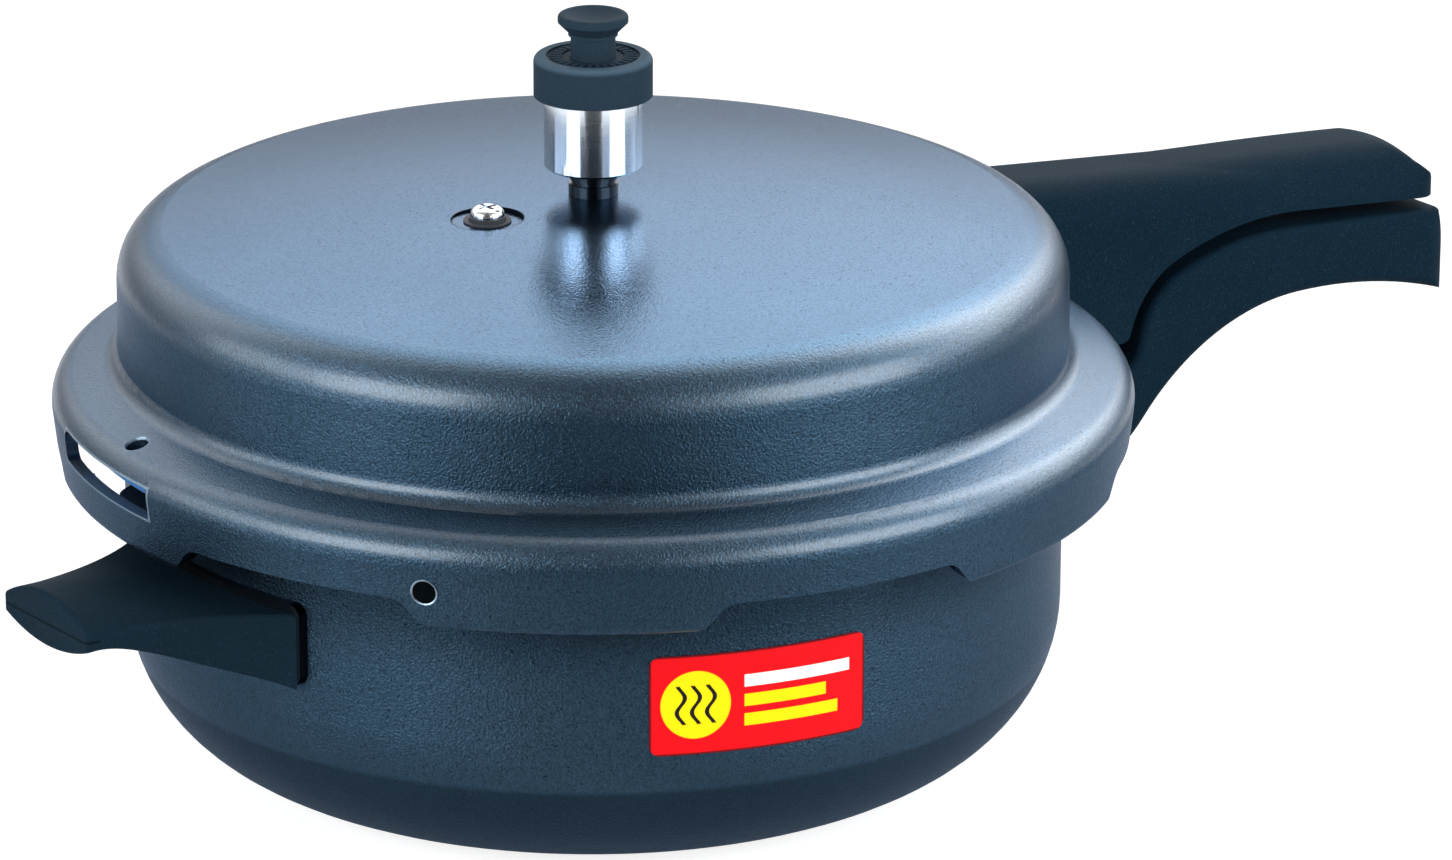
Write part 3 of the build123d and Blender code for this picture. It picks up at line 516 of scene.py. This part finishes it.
def make_label():
    """Label on the pan's wall: a strip of a cylinder with rounded corners."""
    label = begin(
        bpy.ops.mesh.primitive_cylinder_add,
        vertices=240,
        radius=PAN_RADIUS + LABEL_GAP,
        depth=LABEL_HEIGHT,
        end_fill_type="NOTHING",
        location=(0, 0, LABEL_MIDDLE),
    )
    half = LABEL_ARC / 2

    def swing(place):
        return abs(atan2(place.y, place.x) - LABEL_AZIMUTH)

    pick(label, "FACE", lambda face: swing(face.center) > half)
    bpy.ops.mesh.delete(type="FACE")
    bpy.ops.object.mode_set(mode="OBJECT")
    pick(label, "VERT", lambda vertex: swing(vertex.co) > half - LABEL_END)
    bpy.ops.mesh.bevel(offset=LABEL_CORNER, segments=6, affect="VERTICES")
    bpy.ops.object.mode_set(mode="OBJECT")
    skin = label.modifiers.new("thickness", "SOLIDIFY")
    skin.thickness = LABEL_THICKNESS
    skin.offset = 1.0
    bpy.ops.object.modifier_apply(modifier="thickness")
    bpy.ops.object.shade_smooth_by_angle(angle=radians(30))
    settle(label, "wall_label", "pan", "moulded", printed_label())


def make_cap_ridges():
    """Fine radial ridges on the floor of the cap's ring."""
    ridges = begin(bpy.ops.mesh.primitive_cube_add, size=1.0, location=(0, 0, 0))
    pick(ridges, "FACE", lambda face: True)
    bpy.ops.transform.resize(value=RIDGE_SIZE)
    bpy.ops.transform.translate(value=(RIDGE_PLACE, 0, CAP_TOP - RIDGE_SINK))
    bpy.ops.object.mode_set(mode="OBJECT")
    pick(ridges, "FACE", lambda face: face.normal.z > 0.9)
    bpy.ops.mesh.bevel(offset=RIDGE_BEVEL, segments=2, affect="EDGES")
    bpy.ops.mesh.select_all(action="SELECT")
    bpy.ops.mesh.spin(steps=RIDGE_COUNT, dupli=True, angle=2 * pi, center=(0, 0, 0), axis=UP)
    bpy.ops.mesh.select_all(action="SELECT")
    bpy.ops.mesh.remove_doubles(threshold=MERGE_DISTANCE)
    bpy.ops.object.mode_set(mode="OBJECT")
    settle(ridges, "cap_ridges", "weight", "moulded", black_cap)


def make_hole_edge():
    """Bevel round the drilled hole in the skirt, lighter for wear and a painted highlight, with a
    near-black disc of painted shade for the bore inside it.
    """
    edge = begin(
        bpy.ops.mesh.primitive_cylinder_add,
        vertices=48,
        radius=HOLE_EDGE_RADIUS,
        depth=HOLE_EDGE_DEPTH,
    )
    pick(edge, "FACE", lambda face: face.normal.z > 0.9)
    bpy.ops.mesh.inset(thickness=HOLE_LIP)
    bpy.ops.mesh.inset(thickness=HOLE_BEVEL, depth=-HOLE_BEVEL_DEPTH)
    bpy.ops.object.mode_set(mode="OBJECT")
    out = Vector((cos(SKIRT_HOLE_AZIMUTH), sin(SKIRT_HOLE_AZIMUTH), 0))
    way = out * cos(SKIRT_LEAN) - Vector((0, 0, sin(SKIRT_LEAN)))
    place = out * SKIRT_HOLE_RADIUS + Vector((0, 0, SKIRT_HOLE_HEIGHT))
    edge.matrix_world = Matrix.Translation(place) @ way.to_track_quat("Z", "Y").to_matrix().to_4x4()
    # The bevel's light metal is wear and a painted highlight.
    wear_and_sheen = metal("worn_and_highlit_edge", rgb(160, 176, 190), rgb(110, 128, 144), 0.3, 900.0)
    # Painted shade: a near-black disc stands in for the dark inside of the bore.
    bore_shade = Finish("painted_bore_shade", Specular_IOR_Level=0.0)
    bore_shade_mottle = bore_shade.noise(900.0, 2.0, 0.5)
    bore_shade.set(Base_Color=mix(bore_shade_mottle, rgb(2, 4, 5), rgb(9, 13, 16)), Roughness=0.8 + bore_shade_mottle * 0.1)
    settle(edge, "skirt_hole_edge", "lid", "anodised", wear_and_sheen, bore_shade)
    for face in edge.data.polygons:
        is_bore = face.area > BORE_AREA and (face.center - place).length < HOLE_EDGE_DEPTH * 0.75
        face.material_index = 1 if is_bore else 0


def make_handle_crest():
    """Swelling of the upper handle's crest, laid on the solid and highest before the tip."""
    crest = begin(bpy.ops.mesh.primitive_grid_add, x_subdivisions=110, y_subdivisions=48, size=1.0)
    middle = CREST_CENTRE + (CREST_FORWARD - CREST_BACK) / 2
    pick(crest, "FACE", lambda face: True)
    bpy.ops.transform.resize(value=(CREST_BACK + CREST_FORWARD, 2 * CREST_HALF_WIDTH, 1.0))
    bpy.ops.transform.translate(value=(middle, 0, APEX + CREST_START))
    bpy.ops.object.mode_set(mode="OBJECT")

    def reach(place):
        ahead = place.x - CREST_CENTRE
        share = ahead / (CREST_FORWARD if ahead > 0 else CREST_BACK)
        return share ** 2 + (place.y / CREST_HALF_WIDTH) ** 2

    pick(crest, "FACE", lambda face: reach(face.center) > 1.0)
    bpy.ops.mesh.delete(type="FACE")
    bpy.ops.object.mode_set(mode="OBJECT")
    lay = crest.modifiers.new("lay", "SHRINKWRAP")
    lay.target = nodes["lid_handle"]
    lay.wrap_method = "PROJECT"
    lay.use_project_z = True
    lay.use_positive_direction = False
    lay.use_negative_direction = True
    bpy.ops.object.modifier_apply(modifier="lay")
    rise = crest.vertex_groups.new(name="height")
    for vertex in crest.data.vertices:
        rise.add([vertex.index], max(0.0, 1 - reach(vertex.co)) ** CREST_FALL, "REPLACE")
    swell = crest.modifiers.new("swell", "DISPLACE")
    swell.strength = CREST_HEIGHT
    swell.mid_level = 0.0
    swell.vertex_group = "height"
    bpy.ops.object.modifier_apply(modifier="swell")
    sink = crest.modifiers.new("sink", "DISPLACE")
    sink.strength = -CREST_SINK
    sink.mid_level = 0.0
    bpy.ops.object.modifier_apply(modifier="sink")
    skin = crest.modifiers.new("thickness", "SOLIDIFY")
    skin.thickness = CREST_SKIN
    skin.offset = -1.0
    bpy.ops.object.modifier_apply(modifier="thickness")
    bpy.ops.object.shade_smooth_by_angle(angle=radians(40))
    settle(crest, "lid_handle_crest", "lid", "moulded", black_moulding)


def facing(azimuth, elevation):
    """Unit vector from the pan towards a place round it, with azimuth 0 along minus Y."""
    a, e = radians(azimuth), radians(elevation)
    return Vector((sin(a) * cos(e), -cos(a) * cos(e), sin(e)))


def make_camera():
    """Camera of the photograph, turned so that the pan's axis falls on its pixel."""
    data = bpy.data.cameras.new("photo_camera")
    data.sensor_width = SENSOR_WIDTH_MM
    data.lens = FOCAL_LENGTH_MM
    camera = bpy.data.objects.new("photo_camera", data)
    bpy.context.scene.collection.objects.link(camera)
    back = facing(VIEW_AZIMUTH, VIEW_ELEVATION)
    focal_pixels = FOCAL_LENGTH_MM / SENSOR_WIDTH_MM * PHOTO_SIZE[0]
    turn_right = atan((PHOTO_SIZE[0] / 2 - AXIS_PIXEL[0]) / focal_pixels)
    turn_down = atan((PHOTO_SIZE[1] / 2 - AXIS_PIXEL[1]) / focal_pixels)
    look = (-back).to_track_quat("-Z", "Y").to_matrix().to_4x4()
    camera.matrix_world = (
        Matrix.Translation(VIEW_TARGET + back * VIEW_DISTANCE)
        @ look
        @ Matrix.Rotation(radians(VIEW_ROLL), 4, "Z")
        @ Matrix.Rotation(-turn_right, 4, "Y")
        @ Matrix.Rotation(-turn_down, 4, "X")
    )
    bpy.context.scene.camera = camera


def softbox(name, azimuth, elevation, width, height, radiance):
    """Area lamp of a given brightness, aimed at the pan."""
    data = bpy.data.lights.new(name, "AREA")
    data.shape = "RECTANGLE"
    data.size = width
    data.size_y = height
    data.color = LAMP_COLOUR
    data.energy = radiance * pi * width * height
    lamp = bpy.data.objects.new(name, data)
    bpy.context.scene.collection.objects.link(lamp)
    out = facing(VIEW_AZIMUTH + azimuth, elevation)
    aim = out.to_track_quat("Z", "Y").to_matrix().to_4x4()
    lamp.matrix_world = Matrix.Translation(VIEW_TARGET + out * LAMP_DISTANCE) @ aim
    lamp.visible_camera = False


def make_world():
    """White to the camera, and a soft studio all round in reflections."""
    world = bpy.data.worlds.new("studio")
    world.use_nodes = True
    bpy.context.scene.world = world
    tree = world.node_tree
    start = Socket(tree, None)
    camera_ray = start.node("ShaderNodeLightPath")
    path = camera_ray.link.node.outputs
    glossy_ray = Socket(tree, path["Is Glossy Ray"])
    clear_ray = Socket(tree, path["Is Transmission Ray"])
    way = start.node("ShaderNodeTexCoord", output=0)
    ahead = -facing(VIEW_AZIMUTH, 0.0)
    depth = way.dot(ahead)
    up = way.part(2)
    aside = way.dot(facing(VIEW_AZIMUTH + 90, 0))
    turn = way.math("ARCTAN2", aside, 0 - depth).size()
    strip = 1 - turn.step(*STRIP_EDGE)
    rise = up.step(0.05, 0.4)
    front = FRONT_LIGHT + rise * FRONT_RISE - strip * (STRIP_DARK + rise * STRIP_RISE)
    rear = REAR_LIGHT + aside.step(-0.5, 0.8) * REAR_RIGHT_LIGHT
    studio = front + depth.step(-0.1, 0.6) * up.step(-0.05, 0.8) * rear
    seen = camera_ray.most(clear_ray)
    strength = seen + (1 - seen) * (glossy_ray * studio + (1 - glossy_ray) * AMBIENT_LIGHT)
    inputs = {"Color": (1, 1, 1, 1), "Strength": strength}
    backdrop = strength.node("ShaderNodeBackground", None, inputs)
    tree.links.new(backdrop.link, tree.nodes["World Output"].inputs["Surface"])


def make_floor():
    """Pale floor, white to the camera away from the pan's shadow."""
    place = (0, 0, FLOOR_LEVEL)
    floor = begin(bpy.ops.mesh.primitive_plane_add, size=FLOOR_SIZE, location=place)
    floor.name = "studio_floor"
    material = bpy.data.materials.new("pale_floor")
    material.use_nodes = True
    tree = material.node_tree
    start = Socket(tree, None)
    camera_ray = start.node("ShaderNodeLightPath")
    paper = start.node("ShaderNodeBsdfDiffuse", None, {"Color": FLOOR_COLOUR})
    inputs = {"Color": (1, 1, 1, 1), "Strength": FLOOR_GLOW}
    glow = start.node("ShaderNodeEmission", None, inputs)
    surface = start.node("ShaderNodeMixShader", None, {0: camera_ray * 0.5, 1: paper, 2: glow})
    tree.links.new(surface.link, tree.nodes["Material Output"].inputs["Surface"])
    floor.data.materials.append(material)


def make_card():
    """Dark card on the floor before the camera, which only reflections show."""
    place = facing(VIEW_AZIMUTH, 0) * CARD_PLACE + Vector((0, 0, CARD_LEVEL))
    card = begin(bpy.ops.mesh.primitive_plane_add, size=1.0, location=place)
    card.name = "dark_card"
    card.scale = CARD_SIZE
    card.rotation_euler.z = radians(VIEW_AZIMUTH)
    bpy.ops.object.transform_apply(location=True, rotation=True, scale=True)
    material = bpy.data.materials.new("dark_paper")
    material.use_nodes = True
    shader = material.node_tree.nodes["Principled BSDF"]
    shader.inputs["Base Color"].default_value = CARD_COLOUR
    shader.inputs["Roughness"].default_value = 0.9
    card.data.materials.append(material)
    card.visible_camera = False
    card.visible_diffuse = False
    card.visible_shadow = False


make_label()
make_cap_ridges()
make_hole_edge()
make_handle_crest()
make_camera()
make_world()
make_floor()
make_card()
for lamp_settings in LAMPS:
    softbox(*lamp_settings)
bpy.context.scene.view_settings.view_transform = "Standard"
